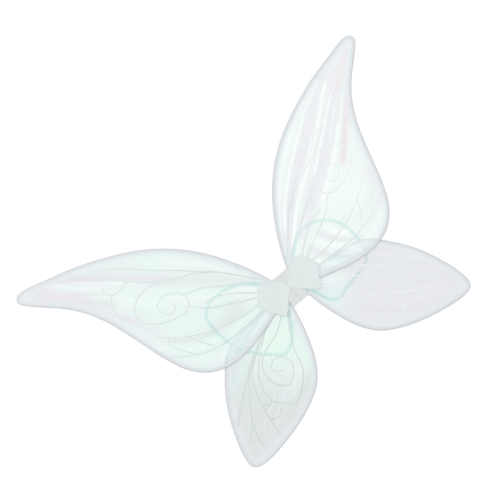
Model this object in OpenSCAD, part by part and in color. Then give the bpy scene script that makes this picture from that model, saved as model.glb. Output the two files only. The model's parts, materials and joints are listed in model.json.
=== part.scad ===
// Fairy wings: four film lobes on wire loops, two root sleeves, a back pad and two elastic arm loops.
// X runs along the span, Z points up the wearer's back, and -Y points away from the wearer.
// The origin is the middle of the pad's face that rests on the wearer's back.

/* [Wings] */
// Width of the open wings, tip to tip
span = 800; // [720:5:880]
// Angle by which each half leans away from the wearer
lean_angle = 3; // [1:0.5:4]
// Thickness of one layer of film
film_t = 0.3; // [0.2:0.05:0.4]
// Gap between the front lobes and the rear lobes
lobe_gap = 0.2; // [0.1:0.1:0.5]

/* [Wire loops] */
// Diameter of the steel wire
wire_d = 1.8; // [1.4:0.1:2.2]
// Distance from the lobe's edge to the middle of the wire
wire_inset = 2; // [1.8:0.1:3]
// Length of each crimped ferrule
ferrule_l = 9; // [6:0.5:9.5]
// Wall of the ferrules and of the cloth tape round the wires
wrap_t = 0.5; // [0.3:0.05:0.5]
// Length of the cloth tape along the wires
wrap_l = 4; // [2:0.5:4.5]

/* [Edge tape and veins] */
// Width of the tape folded over each lobe's edge
tape_w = 6; // [4:0.5:8]
// Thickness of the tape
tape_t = 0.3; // [0.2:0.05:0.4]
// Width of a glitter vein at its root
vein_w = 1.6; // [1:0.1:2.5]
// Height of a glitter vein above the film
vein_t = 0.25; // [0.2:0.05:0.4]
// Width at a vein's tip as a share of the width at its root
vein_taper = 0.6; // [0.4:0.05:1]

/* [Root sleeves] */
// Thickness of the knitted lace
lace_t = 0.6; // [0.4:0.1:0.8]
// Distance from the middle plane to each fold line
fold_x = 2.4; // [2.4:0.1:3]
// Height of the narrow lace band in the middle
band_h = 62; // [56:1:66]
// Half of the width of that band
band_x = 17; // [14:0.5:19]

/* [Back pad] */
// Width of the pad
pad_w = 46; // [40:1:46]
// Height of the pad
pad_h = 56; // [52:1:60]
// Corner radius of the pad
pad_r = 9; // [4:0.5:14]
// Thickness of the foam
foam_t = 2; // [1.5:0.1:4]
// Thickness of each pad cover
cover_t = 0.5; // [0.3:0.1:0.8]

/* [Arm loops] */
// Width of the elastic
strap_w = 6; // [4:0.5:8]
// Thickness of the elastic
strap_t = 1; // [0.8:0.1:1.2]
// Distance from the middle plane to each loop's hinge line
strap_x = 24.4; // [24.4:0.1:26]
// Height of the loop's upper and lower sewn ends above and below the middle
strap_z = 22; // [18:0.5:23]

/* [Hidden] */
eps = 0.01;
// Gap between layers that are sewn together
layer_gap = 0.1;
// Clearances beside the fold lines, the wires and the loops' hinge lines
fold_gap = 0.2;
spine_gap = 0.3;
wire_play = 0.1;
loop_gap = 0.2;
sewn_gap = 0.7;

// The outlines below are drawn for wings 800 wide
k = span / 800;

// Depths, as distances in front of the wearer's back
pad_t = foam_t + 2 * cover_t;
strap_front = pad_t + strap_t;
lobe_t = wire_d + 2 * film_t + 2 * tape_t;
sleeve_gap = 1.2;
rear_lace = strap_front + sleeve_gap;
hind_mid = rear_lace + lace_t + layer_gap + lobe_t / 2;
fore_mid = hind_mid + lobe_t + lobe_gap;
front_band = fore_mid + lobe_t / 2 + layer_gap;
front_lace = front_band + lace_t;
// The fold line lies just behind the front lace, so the halves can close like a book
fold_y = front_lace + lace_t - (fold_x - spine_gap);
edge_gap = 0.2;
spine_w = 3.6;
// Each elastic's ends are sewn down this far from both middle planes
sewn_x = 12;
// Each bar tack is a block of thread, at equal distances from both middle planes
tack_x = 16;
tack_turn = 40;
tack_l = 5;
tack_w = 1.6;
tack_t = 0.5;

// Edge of a front lobe, from the root's top round the tip and back to the root
FORE_EDGE = [
  [17, 31], [31, 65], [52, 105], [80, 148], [118, 190], [165, 226], [220, 254.5], [280, 277.5],
  [335, 292], [372, 301], [390, 301], [398.5, 292], [394, 280], [372, 258], [340, 228], [313, 194],
  [293, 156], [278, 116], [265, 76], [252, 38], [234, 1], [208, -26], [178, -39], [148, -42],
  [112, -38], [75, -28], [45, -19], [24, -15], [14, -12], [11, -6], [11, 2], [11, 12], [11, 21]
];
// Edge of a rear lobe, from the root's bottom round the tip and back to the root
HIND_EDGE = [
  [18, -34], [24, -62], [35, -97], [49, -130], [72, -160], [105, -180], [145, -194.5], [185, -203.5],
  [218, -207.5], [240, -205], [250, -194], [248, -168], [239, -137], [224, -100], [205, -68],
  [188, -46], [170, -25], [145, -11], [110, -4], [75, 0], [45, 4], [24, 9], [14, 10], [11, 6],
  [11, -2], [11, -12], [11, -21]
];
// Both edges end with this many points inside the root, where the wire is bare
root_points = 5;
steps = 4;
root_wire_x = 11;
root_straight = [2, 12];
// Veins of a front lobe, each from its root end to its tip end
FORE_VEINS = [
  [[24, 36], [51, 68], [86, 107], [113, 130], [140, 155], [185, 192], [215, 220], [255, 247], [330, 281]],
  [[86, 107], [122, 132], [149, 144], [175, 156], [202, 162], [228, 157], [245, 140], [245, 121],
   [232, 103], [210, 91], [190, 85], [171, 85], [158, 96], [157, 111], [168, 124], [186, 132],
   [203, 128], [209, 114], [202, 102], [191, 98], [181, 104], [185, 115]],
  [[28, 34], [62, 62], [86, 75], [103, 86], [122, 99], [141, 106], [157, 111]],
  [[56, 22], [88, 38], [126, 57], [145, 71], [162, 88]],
  [[60, 12], [88, 12], [122, 18], [150, 25], [178, 36], [213, 57], [246, 84]],
  [[62, 0], [100, -4], [150, -4], [188, 4], [212, 15], [240, 34]],
  [[227, 66], [231, 54], [226, 42], [214, 24], [200, 8]],
  [[197, 47], [188, 28], [170, 3]],
  [[168, 153], [200, 176], [221, 193], [243, 190], [258, 191], [265, 201], [263, 214]],
  [[258, 191], [269, 180], [272, 160], [266, 141], [254, 142]],
  [[221, 193], [238, 214], [262, 240], [300, 262]],
  [[269, 180], [283, 196], [312, 222], [345, 250]],
  [[52, 30], [80, 52], [110, 70], [134, 74]]
];
// Veins of a rear lobe
HIND_VEINS = [
  [[30, -12], [80, -30], [135, -56], [166, -80], [203, -109], [228, -132]],
  [[112, -45], [151, -71], [181, -107], [203, -142], [226, -164]],
  [[102, -41], [135, -62], [157, -86], [170, -125], [175, -160], [177, -190]],
  [[88, -34], [120, -60], [147, -92], [153, -131], [140, -149], [128, -160]],
  [[36, -22], [72, -48], [112, -62], [131, -84], [131, -112], [113, -131], [95, -123], [83, -106],
   [88, -88], [103, -80], [117, -88], [115, -101], [103, -104]],
  [[30, -26], [52, -62], [66, -92], [76, -125], [100, -152], [126, -164]],
  [[170, -128], [160, -138], [152, -132]],
  [[174, -158], [160, -162], [146, -153]],
  [[203, -142], [210, -165], [213, -190]]
];
// Outline of a root sleeve, from its inner corner round its outer edge
SLEEVE_EDGE = [
  [fold_x + fold_gap, -1], [fold_x + fold_gap, 7], [15, 25], [36, 40], [48, 37], [63, 16], [66, 0],
  [52, -18], [40, -37], [28, -28], [15, -14]
];
// Route of the middle of each arm loop, from its upper to its lower end, left and right
LEFT_LOOP = [
  [-33, 32], [-48, 48], [-72, 67], [-102, 75], [-133, 72], [-151, 55], [-153, 28], [-149, 0],
  [-139, -28], [-120, -53], [-100, -72], [-81, -84], [-62, -77], [-45, -58], [-33, -36]
];
RIGHT_LOOP = [
  [33, 32], [50, 49], [74, 66], [100, 71], [125, 61], [144, 42], [152, 20], [154, -4], [151, -28],
  [139, -48], [114, -57], [82, -63], [56, -69], [40, -58], [32, -38]
];

// A point of a Catmull-Rom curve between b and c
function curve_point(a, b, c, d, t) =
  0.5 * (2 * b + (c - a) * t + (2 * a - 5 * b + 4 * c - d) * t * t + (3 * b - a - 3 * c + d) * t * t * t);
// A smooth closed curve through the points, n steps from each to the next
function closed_curve(p, n) =
  let (m = len(p))
  [for (i = [0 : m - 1]) for (j = [0 : n - 1])
    curve_point(p[(i + m - 1) % m], p[i], p[(i + 1) % m], p[(i + 2) % m], j / n)];
// A smooth open curve through the points
function open_curve(p, n) =
  let (m = len(p))
  [for (i = [0 : m - 2]) for (j = [0 : (i == m - 2 ? n : n - 1)])
    curve_point(p[max(i - 1, 0)], p[i], p[i + 1], p[min(i + 2, m - 1)], j / n)];
function unit(v) = v / norm(v);
function left_of(v) = [-v[1], v[0]];
// Direction of a curve at its point i
function along(p, i, closed) =
  let (m = len(p))
  closed ? unit(p[(i + 1) % m] - p[(i + m - 1) % m]) : unit(p[min(i + 1, m - 1)] - p[max(i - 1, 0)]);
// A closed curve that runs clockwise, moved inward by d
function inset(p, d) = [for (i = [0 : len(p) - 1]) p[i] - d * left_of(along(p, i, true))];
// The same for a closed curve that runs anticlockwise
function anticlockwise_inset(p, d) = [for (i = [0 : len(p) - 1]) p[i] + d * left_of(along(p, i, true))];
// The outline of a line that narrows from width w0 to w1
function stroke(p, w0, w1) =
  let (m = len(p), side = [for (i = [0 : m - 1]) left_of(along(p, i, false)) * (w0 + (w1 - w0) * i / m) / 2])
  concat([for (i = [0 : m - 1]) p[i] + side[i]], [for (i = [m - 1 : -1 : 0]) p[i] - side[i]]);
// The points of an edge that lie outside the sewn root
function past_root(p) = [for (i = [0 : len(p) - steps * (root_points + 1)]) p[i]];

fore_edge = closed_curve(k * FORE_EDGE, steps);
hind_edge = closed_curve(k * HIND_EDGE, steps);
function edge(fore, d) = fore ? inset(fore_edge, d) : anticlockwise_inset(hind_edge, d);
function mid(fore) = fore ? fore_mid : hind_mid;

// A flat plate from depth d0 to depth d1 in front of the wearer's back
module plate(d0, d1) translate([0, -d0, 0]) rotate([90, 0, 0]) linear_extrude(d1 - d0) children();
// A piece of the right half, or its mirror image on the left, leaning away from the wearer
module on_half(right) mirror([right ? 0 : 1, 0, 0])
  translate([fold_x, -fold_y, 0]) rotate([0, 0, -lean_angle]) translate([-fold_x, fold_y, 0]) children();
module rounded_rectangle(w, h, r) offset(r = r, $fn = 32) square([w - 2 * r, h - 2 * r], center = true);

// Steel wire loop, swept along the lobe's edge
module wire_loop(fore) {
  sides = 8;
  p = edge(fore, wire_inset);
  n = len(p);
  r = wire_d / 2;
  ring = [for (i = [0 : n - 1]) for (s = [0 : sides - 1])
    let (out = r * left_of(along(p, i, true)), a = 360 * s / sides)
    [p[i][0] + cos(a) * out[0], r * sin(a) - mid(fore), p[i][1] + cos(a) * out[1]]];
  wall = [for (i = [0 : n - 1]) for (s = [0 : sides - 1])
    let (i2 = (i + 1) % n, s2 = (s + 1) % sides)
    [i * sides + s, i * sides + s2, i2 * sides + s2, i2 * sides + s]];
  color("silver") polyhedron(ring, wall);
}
// One layer of film; the front layer lies before the wire, the rear layer behind it
module film(fore, front) {
  near = mid(fore) + (front ? wire_d / 2 : -wire_d / 2 - film_t);
  color("honeydew", 0.6) plate(near, near + film_t) polygon(past_root(edge(fore, tape_t + edge_gap)));
}
// Tape folded over the edge, open towards the middle of the lobe
module edge_tape(fore) {
  outer = past_root(edge(fore, 0));
  slot = past_root(edge(fore, tape_t));
  inner = past_root(edge(fore, tape_w));
  beyond = past_root(edge(fore, tape_w + 1));
  color("lavender") difference() {
    plate(mid(fore) - lobe_t / 2, mid(fore) + lobe_t / 2)
      polygon(concat(outer, [for (i = [len(inner) - 1 : -1 : 0]) inner[i]]));
    plate(mid(fore) - lobe_t / 2 + tape_t, mid(fore) + lobe_t / 2 - tape_t)
      polygon(concat(slot, [for (i = [len(beyond) - 1 : -1 : 0]) beyond[i]]));
  }
}
// Glitter veins printed on the front film
module veins(fore) {
  near = mid(fore) + wire_d / 2 + film_t;
  color("gray") plate(near, near + vein_t) offset(delta = eps) intersection() {
    polygon(edge(fore, tape_w + eps));
    for (v = fore ? FORE_VEINS : HIND_VEINS)
      polygon(stroke(k * open_curve(v, steps), vein_w, vein_w * vein_taper));
  }
}
// Lace layers of a root sleeve, in front of and behind the wires
module sleeve_shape() offset(r = 2, $fn = 16) offset(delta = -2) polygon(SLEEVE_EDGE);
module sleeve_front() color("gainsboro") plate(front_lace, front_lace + lace_t) sleeve_shape();
module sleeve_rear() color("gainsboro") plate(rear_lace, rear_lace + lace_t) sleeve_shape();
// Narrow lace band beside the fold line
module lace_band() color("lightgray") plate(front_band, front_band + lace_t)
  translate([fold_x + fold_gap, -band_h / 2]) square([band_x - fold_x - fold_gap, band_h]);

// Crimped ferrule over the two ends of a wire loop
module ferrule(fore) {
  middle = (root_straight[0] + root_straight[1]) / 2;
  translate([k * root_wire_x + wire_inset, -mid(fore), (fore ? k : -k) * middle]) difference() {
    cylinder(h = ferrule_l, d = wire_d + 2 * wrap_t, center = true);
    cylinder(h = 2 * ferrule_l, d = wire_d + 2 * wire_play, center = true);
  }
}
module wire_ferrules() color("darkgray") for (fore = [true, false]) ferrule(fore);
// Cloth tape wound round the front and the rear wire
module round_both_wires(r) {
  translate([0, -hind_mid]) circle(r);
  translate([0, -fore_mid]) circle(r);
  translate([-r, -fore_mid]) square([2 * r, fore_mid - hind_mid]);
}
module root_tape() color("white") translate([k * root_wire_x + wire_inset, 0, 0])
  linear_extrude(wrap_l, center = true) difference() {
    round_both_wires(wire_d / 2 + wrap_t);
    round_both_wires(wire_d / 2 + wire_play);
  }

// Strip that carries both fold lines, between the pad and the sleeves
module spine_strip() color("lightgray") translate([-spine_w / 2, -fold_y + spine_gap, -band_h / 2])
  cube([spine_w, fold_y - spine_gap - pad_t, band_h]);
// Pad against the wearer's back
module pad_layer(d0, d1) plate(d0, d1) rounded_rectangle(pad_w, pad_h, pad_r);
module pad_back_cover() color("whitesmoke") pad_layer(0, cover_t);
module pad_foam() color("white") pad_layer(cover_t, cover_t + foam_t);
module pad_front_cover() color("whitesmoke") pad_layer(cover_t + foam_t, pad_t);

// One elastic, from its upper sewn end round the arm to its lower sewn end
module elastic(right) {
  side = right ? 1 : -1;
  loop = right ? RIGHT_LOOP : LEFT_LOOP;
  upper = [[side * sewn_x, sewn_x], [side * strap_x, strap_z]];
  lower = [[side * strap_x, -strap_z], [side * sewn_x, -sewn_x]];
  plate(pad_t, strap_front) polygon(stroke(open_curve(concat(upper, loop, lower), steps), strap_w, strap_w));
}
// The part of an elastic's depth that lies less than x from the middle plane
module near_pad(x) translate([-x, -strap_front - 1, -pad_h]) cube([2 * x, strap_t + 2, 2 * pad_h]);
// The loop swings at its hinge line, and the sewn ends inside that line stay with the pad
module strap(right) color("paleturquoise") difference() {
  elastic(right);
  near_pad(strap_x + loop_gap);
}
module strap_ends(right) color("paleturquoise") intersection() {
  elastic(right);
  near_pad(strap_x - sewn_gap);
}
// Dense stitching that holds the four ends of the elastics
module bar_tacks() color("white") for (x = [-1, 1], z = [-1, 1])
  translate([x * tack_x, -strap_front, z * tack_x]) rotate([0, x * z * tack_turn, 0])
    translate([-tack_w / 2, -tack_t, -tack_l / 2]) cube([tack_w, tack_t, tack_l]);

on_half(false) wire_loop(true);  // wire_fore_left
on_half(true) wire_loop(true);  // wire_fore_right
on_half(false) wire_loop(false);  // wire_hind_left
on_half(true) wire_loop(false);  // wire_hind_right
on_half(false) film(true, true);  // front_film_fore_left
on_half(true) film(true, true);  // front_film_fore_right
on_half(false) film(false, true);  // front_film_hind_left
on_half(true) film(false, true);  // front_film_hind_right
on_half(false) film(true, false);  // rear_film_fore_left
on_half(true) film(true, false);  // rear_film_fore_right
on_half(false) film(false, false);  // rear_film_hind_left
on_half(true) film(false, false);  // rear_film_hind_right
on_half(false) edge_tape(true);  // edge_tape_fore_left
on_half(true) edge_tape(true);  // edge_tape_fore_right
on_half(false) edge_tape(false);  // edge_tape_hind_left
on_half(true) edge_tape(false);  // edge_tape_hind_right
on_half(false) veins(true);  // veins_fore_left
on_half(true) veins(true);  // veins_fore_right
on_half(false) veins(false);  // veins_hind_left
on_half(true) veins(false);  // veins_hind_right
on_half(false) sleeve_front();  // sleeve_front_left
on_half(true) sleeve_front();  // sleeve_front_right
on_half(false) sleeve_rear();  // sleeve_rear_left
on_half(true) sleeve_rear();  // sleeve_rear_right
on_half(false) lace_band();  // lace_band_left
on_half(true) lace_band();  // lace_band_right
on_half(false) wire_ferrules();  // wire_ferrules_left
on_half(true) wire_ferrules();  // wire_ferrules_right
on_half(false) root_tape();  // root_tape_left
on_half(true) root_tape();  // root_tape_right
spine_strip();
pad_front_cover();
pad_foam();
pad_back_cover();
bar_tacks();
strap_ends(false);  // strap_ends_left
strap_ends(true);  // strap_ends_right
strap(false);  // strap_left
strap(true);  // strap_right
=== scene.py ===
import bpy
import bmesh
import json
import math
import numpy as np
from mathutils import Matrix, Vector
from mathutils.bvhtree import BVHTree


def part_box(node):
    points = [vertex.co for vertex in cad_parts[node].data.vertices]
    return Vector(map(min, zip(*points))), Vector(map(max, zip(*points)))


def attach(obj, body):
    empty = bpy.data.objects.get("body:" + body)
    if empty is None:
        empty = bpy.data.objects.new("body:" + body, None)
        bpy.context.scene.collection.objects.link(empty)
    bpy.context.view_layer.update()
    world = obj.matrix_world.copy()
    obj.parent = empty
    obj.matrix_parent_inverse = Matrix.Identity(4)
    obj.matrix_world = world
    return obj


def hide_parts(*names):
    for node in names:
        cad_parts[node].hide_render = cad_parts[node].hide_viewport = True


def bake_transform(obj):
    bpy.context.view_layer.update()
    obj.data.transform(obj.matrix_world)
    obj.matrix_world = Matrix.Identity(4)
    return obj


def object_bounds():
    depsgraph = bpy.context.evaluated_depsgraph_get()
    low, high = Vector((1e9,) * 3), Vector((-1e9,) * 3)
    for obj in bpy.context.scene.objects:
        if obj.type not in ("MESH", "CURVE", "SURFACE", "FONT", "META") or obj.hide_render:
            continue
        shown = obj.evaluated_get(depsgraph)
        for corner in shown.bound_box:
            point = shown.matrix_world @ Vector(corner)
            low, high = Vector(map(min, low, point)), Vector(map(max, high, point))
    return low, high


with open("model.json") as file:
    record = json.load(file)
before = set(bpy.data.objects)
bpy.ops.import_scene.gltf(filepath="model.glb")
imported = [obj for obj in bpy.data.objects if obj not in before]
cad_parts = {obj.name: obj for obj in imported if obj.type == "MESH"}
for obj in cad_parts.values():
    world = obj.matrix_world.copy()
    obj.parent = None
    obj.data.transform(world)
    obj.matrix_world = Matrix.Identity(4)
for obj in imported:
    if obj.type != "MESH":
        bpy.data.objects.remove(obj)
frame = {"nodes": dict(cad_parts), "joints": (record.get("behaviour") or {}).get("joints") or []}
cad_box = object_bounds()
NODES = frame["nodes"]
JOINTS = {j["name"]: j for j in frame["joints"]}
SIDES = {"left": -1, "right": 1}
MM = 0.001

# Colours are linear RGB
MINT, MINT_COOL = (0.735, 0.935, 0.86), (0.715, 0.895, 0.87)
TINTS = {
    # white is painted sheen: the whitish highlights that the pleated film catches
    "lilac": (0.70, 0.665, 0.755), "white": (0.90, 0.99, 0.965), "pink": (0.74, 0.48, 0.59),
    "grey": (0.55, 0.63, 0.61), "green": (0.72, 1.0, 0.85), "aqua": (0.58, 0.80, 0.80),
}
EDGE_BLUE = (0.67, 0.76, 0.80)
# The darkest hem colour is for the tape's outer edge: partly the wire under the sheer tape, partly painted
# shade of the rounded edge
HEM, HEM_LILAC, HEM_EDGE_SHADE = (0.80, 0.85, 0.86), (0.78, 0.80, 0.84), (0.57, 0.59, 0.64)
LACE, LACE_SHADE = (0.88, 0.95, 0.94), (0.68, 0.76, 0.75)
BAND, BAND_SHADE = (0.84, 0.88, 0.88), (0.66, 0.70, 0.71)
# The darker elastic colour is painted shade in the rib grooves and a random darker tone
ELASTIC, ELASTIC_SHADE_AND_TONE = (0.66, 0.90, 0.87), (0.50, 0.78, 0.75)
PAD, PAD_SHADE = (0.80, 0.84, 0.85), (0.66, 0.71, 0.73)
BINDING, BINDING_SHADE = (0.62, 0.70, 0.71), (0.48, 0.56, 0.58)
# The foam's pore colour is painted shade in the cells' hollows
FOAM, FOAM_PORE_SHADE, FOAM_WALL = (0.9, 0.9, 0.86), (0.8, 0.8, 0.74), (0.93, 0.93, 0.9)
VEIN, VEIN_DARK, VEIN_DEEP = (0.71, 0.78, 0.75), (0.60, 0.68, 0.65), (0.46, 0.54, 0.51)
# The brightest glitter colour is a painted highlight on single flakes
VEIN_FLAKE_HIGHLIGHT, VEIN_CAUGHT = (0.95, 0.97, 1.0), (0.86, 0.90, 0.90)
THREAD, THREAD_SHADE = (0.84, 0.88, 0.89), (0.74, 0.79, 0.80)
SEAM, SEAM_SHADE = (0.50, 0.64, 0.64), (0.38, 0.52, 0.52)
STEEL, FERRULE, FLOOR = (0.62, 0.62, 0.60), (0.80, 0.81, 0.82), (0.9, 0.9, 0.9)
# How much each lobe's glitter lines catch the light, near the root and far out, and how dark they are far out
VEIN_LIGHT = {
    "fore_left": (0.0, 0.25, 0.0), "fore_right": (0.15, 0.9, 0.0),
    "hind_left": (0.0, 0.0, 0.3), "hind_right": (0.8, 0.8, 0.0),
}
FILM_ALPHA, FILM_T = 0.38, 0.3 * MM
SEEDS = {"fore_left": 11, "fore_right": 12, "hind_left": 23, "hind_right": 14}

# Where the film's edge goes in under the lace, at the start and at the end of its outline, in millimetres
ROOT_ENDS = {"fore": ((15.0, 27.6), (15.2, -11.6)), "hind": ((15.2, -28.4), (15.4, 9.0))}

# How a lobe's edge is divided across the pleats: the share of the edge, counted from the tip where True,
# and the stream there
STREAMS = {
    "fore": [(False, 0, 0), (True, -0.05, 0.02), (True, 0.012, 0.46), (True, 0.16, 0.6), (True, 0.3, 0.72),
             (False, 1, 1)],
    "hind": [(False, 0, 0), (True, -0.06, 0.12), (True, 0.03, 0.5), (True, 0.16, 0.8), (False, 1, 1)],
}

# The film's own tints on each lobe, with white as painted sheen: tint, the reach where it starts changing and
# where it ends, and its weight at the root and at the tip
BASE_TINTS = {
    "fore_left": [("lilac", 0.55, 0.9, 0.05, 0.45), ("grey", 0.3, 0.9, 0.05, 0.25),
                  ("aqua", 0.1, 0.4, 0.25, 0.1)],
    "fore_right": [("white", 0.2, 0.7, 0.2, 0.35), ("aqua", 0.05, 0.3, 0.2, 0.0),
                   ("lilac", 0.5, 0.9, 0.05, 0.5)],
    "hind_left": [("grey", 0.3, 0.7, 0.15, 0.97), ("green", 0.2, 0.5, 0.35, 0.1),
                  ("lilac", 0.7, 1.0, 0.0, 0.15)],
    "hind_right": [("lilac", 0.2, 0.36, 0.1, 0.8), ("grey", 0.3, 0.9, 0.1, 0.3),
                   ("aqua", 0.15, 0.4, 0.3, 0.05)],
}
# Streaks and patches of tint: the tint, its half width in hundredths, its strength, and the points that its
# line goes through, as stream and reach in hundredths
# The white streaks are painted highlights: sheen along the pleats
STREAKS = {
    "fore_left": [
        ("white", 4, 0.35, (10, 18), (10, 30), (10, 45)),
        ("grey", 5, 0.45, (17, 10), (22, 25), (24, 42)),
        ("lilac", 3.8, 0.8, (23, 46), (21, 60), (17, 75), (11, 86)),
        ("white", 1.4, 0.45, (25, 56), (23.5, 70), (19, 80)),
        ("white", 2, 0.45, (29, 70), (25, 80), (14, 87)),
        ("lilac", 6, 0.5, (36, 78), (33, 88), (24, 92)),
        ("lilac", 5, 0.5, (42, 74), (40, 90)),
        ("pink", 3, 0.25, (44, 64), (47, 72)),
        ("lilac", 3, 0.7, (53, 60), (50, 80)),
        ("lilac", 3, 0.5, (57, 50), (53, 58)),
        ("grey", 5.5, 0.6, (50, 17), (58, 20), (60, 25)),
        ("green", 3, 0.9, (66, 10), (67, 24)),
        ("green", 4, 0.4, (36, 10), (38, 24)),
        ("green", 5, 0.45, (30, 36), (38, 55), (35, 62)),
        ("grey", 1.2, 0.6, (62, 30), (61, 45)),
        ("green", 1.4, 0.7, (67, 30), (66, 44)),
        ("white", 1.8, 0.5, (74, 16), (76, 33)),
        ("grey", 1.4, 0.4, (79, 12), (80, 28)),
        ("white", 1.8, 0.6, (84, 10), (84, 22)),
        ("white", 1, 0.9, (66, 50), (62, 60)),
        ("aqua", 5, 0.7, (6, 7), (20, 8)),
        ("white", 4.5, 0.3, (32, 12), (36, 34)),
        ("white", 7, 0.25, (36, 42), (38, 58)),
        ("white", 6, 0.5, (88, 12), (92, 22)),
        ("white", 5, 0.25, (24, 12), (50, 13)),
    ],
    "fore_right": [
        ("lilac", 3, 0.7, (5, 14), (7, 28)),
        ("green", 5, 0.6, (24, 11), (25, 26)),
        ("white", 4, 0.4, (27, 11), (30, 22)),
        ("white", 4, 0.4, (82, 28), (74, 42)),
        ("white", 1.4, 0.9, (5.5, 20), (6.5, 50), (6, 70), (4.5, 82)),
        ("white", 1.3, 0.85, (10, 20), (12.5, 40), (13, 55), (10, 78)),
        ("green", 0.8, 0.7, (8.5, 25), (9.5, 60), (8, 75)),
        ("lilac", 1.8, 0.8, (4.5, 62), (3, 80)),
        ("lilac", 5.2, 1.35, (14, 16), (16, 30), (17.5, 45), (18, 60), (16, 70), (11, 82)),
        ("white", 1.7, 1.0, (19, 13), (21, 26), (23.5, 40), (25, 55), (24, 66), (19, 78)),
        ("green", 2, 0.6, (20, 20), (22, 30)),
        ("lilac", 5.2, 1.35, (30, 20), (33, 35), (34.5, 50), (37, 62), (36, 74), (30, 84)),
        ("lilac", 2.2, 1.2, (26, 50), (27, 72), (21, 84)),
        ("white", 0.8, 0.9, (30, 42), (30.8, 60), (30, 74)),
        ("pink", 6, 0.6, (36, 82), (33, 90)),
        ("white", 1.4, 0.9, (40, 34), (41, 50), (43, 62), (44, 74)),
        ("pink", 2.1, 1.3, (47.5, 50), (48.5, 60), (50, 74)),
        ("lilac", 3, 0.9, (51, 66), (49, 80)),
        ("white", 9, 0.45, (46, 33), (55, 42)),
        ("lilac", 1.3, 0.85, (44, 13), (60, 13.5), (76, 18), (86, 26)),
        ("white", 1.2, 1.0, (44, 16.5), (60, 18), (74, 23), (80, 29)),
        ("lilac", 1.2, 0.8, (46, 20), (60, 21), (70, 25), (74, 30)),
        ("white", 1.1, 0.9, (50, 23.5), (60, 24), (66, 27)),
        ("white", 1.2, 0.8, (62, 10.5), (78, 13), (90, 20)),
        ("lilac", 1.4, 0.8, (80, 10), (92, 15)),
        ("green", 4, 0.5, (36, 12), (38, 30)),
        ("aqua", 3, 0.5, (66, 36), (66, 50)),
        ("lilac", 0.8, 0.7, (71, 36), (69, 46)),
        ("lilac", 3, 0.7, (63, 50), (70, 46)),
        ("aqua", 5, 0.8, (10, 93), (40, 96)),
        ("aqua", 5, 0.7, (6, 7), (16, 9)),
    ],
    "hind_left": [
        ("green", 8.5, 1.0, (38, 14), (58, 15), (60, 28), (42, 27)),
        ("aqua", 6, 0.9, (10, 15), (22, 16)),
        ("green", 2.2, 0.9, (12, 30), (13, 52)),
        ("white", 2, 0.3, (19, 45), (22, 36), (25, 45), (22, 56)),
        ("aqua", 3, 0.6, (28, 52), (30, 62)),
        ("aqua", 3.5, 0.6, (72, 50), (76, 62)),
        ("green", 3, 0.35, (60, 52), (66, 60), (64, 80)),
        ("lilac", 5, 0.4, (17, 78), (30, 92)),
        ("lilac", 2.5, 0.5, (72, 72), (60, 85)),
        ("white", 8, 0.8, (80, 12), (84, 24), (88, 40)),
        ("grey", 5, 0.5, (10, 50), (14, 72)),
    ],
    "hind_right": [
        ("aqua", 5.5, 1.0, (3, 12), (22, 13)),
        ("aqua", 5, 0.6, (32, 13), (44, 16)),
        ("green", 3, 0.4, (36, 13), (42, 20)),
        ("white", 6, 0.4, (50, 18), (60, 22)),
        ("grey", 3.5, 0.5, (22, 40), (23, 58)),
        ("lilac", 2.2, 0.8, (67, 16), (71, 30), (73, 40)),
        ("aqua", 2, 0.6, (76, 52), (77, 66)),
        ("white", 8, 0.9, (80, 12), (84, 24), (88, 40)),
    ],
}

# Hem: distance from the edge and from the middle of the wire, in millimetres, over its outside and inside
HEM_OUTSIDE = [(6.0, 1.22), (5.6, 1.44), (4.8, 1.38), (4.0, 1.44), (3.0, 1.48), (2.0, 1.5), (1.1, 1.38),
               (0.45, 1.0), (0.1, 0.45), (0.0, 0.0)]
HEM_INSIDE = [(5.9, 1.12), (5.4, 1.16), (4.0, 1.16), (2.0, 1.22), (1.2, 1.1), (0.6, 0.7), (0.28, 0.3),
              (0.22, 0.0)]
# The hem behind is this share as wide as in front; the hem's edge lies a gap beyond the film's outline
HEM_REAR, HEM_STEP, EDGE_GAP, FILM_INSET = 0.86, 1.7 * MM, 0.5 * MM, 0.4 * MM
STITCH_LINE, STITCH_PITCH, STITCH_LENGTH, STITCH_DEPTH = 4.9 * MM, 3.2 * MM, 2.3 * MM, 1.42 * MM
# Stitches of a hem keep off its ends and off the lace patches
STITCH_ENDS, LACE_REACH = 4 * MM, 22 * MM
THREAD_SIDES = 5
# Stations of a stitch: share of its length, girth and rise as shares of the thread's radius
THREAD_STATIONS = ((0, 0.35, -0.6), (0.12, 0.9, 0.1), (0.5, 1.1, 0.6), (0.88, 0.9, 0.1), (1, 0.35, -0.6))
# Longest edge of a vein's mesh, how far its sides are moved out, and how far it stands off the film
VEIN_STEP, VEIN_SPREAD, VEIN_CLEAR = 2.0 * MM, 0.35 * MM, 0.16 * MM
# Distances from the root between which the veins' light changes
VEIN_NEAR, VEIN_FAR = 120 * MM, 230 * MM
RAY_START = 20 * MM
# Pleats of a lobe, and the rings that its film's mesh has from root to edge
PLEATS, FILM_RINGS = 26, 84
# Points or rows measured at a time, to save memory
CHUNK = 3000

# Lace patch of each layer: the way it bulges, the lobe it holds, the room in front of its flat place, and
# where its blend starts and ends, in millimetres
LACE_LAYERS = {"front": (1, "fore", 0.6, 0.4, 4.4), "rear": (-1, "hind", 0.0, 1.6, 6.0)}
LACE_T, FOLD_NECK, REAR_NECK = 0.6 * MM, 2.6 * MM, 1.9 * MM
PAD_RADIUS, COVER_T, CHANNEL_IN = 9 * MM, 0.5 * MM, 7 * MM
TACK_X, TACK_TURN, TACK_STITCHES = 16 * MM, 46, 12

# Elastic loops behind the wings: points (x, z) in millimetres from the upper hinge to the lower one
SEWN_X, STRAP_Z, LOOP_PITCH = 12, 22, 1.3
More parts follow.
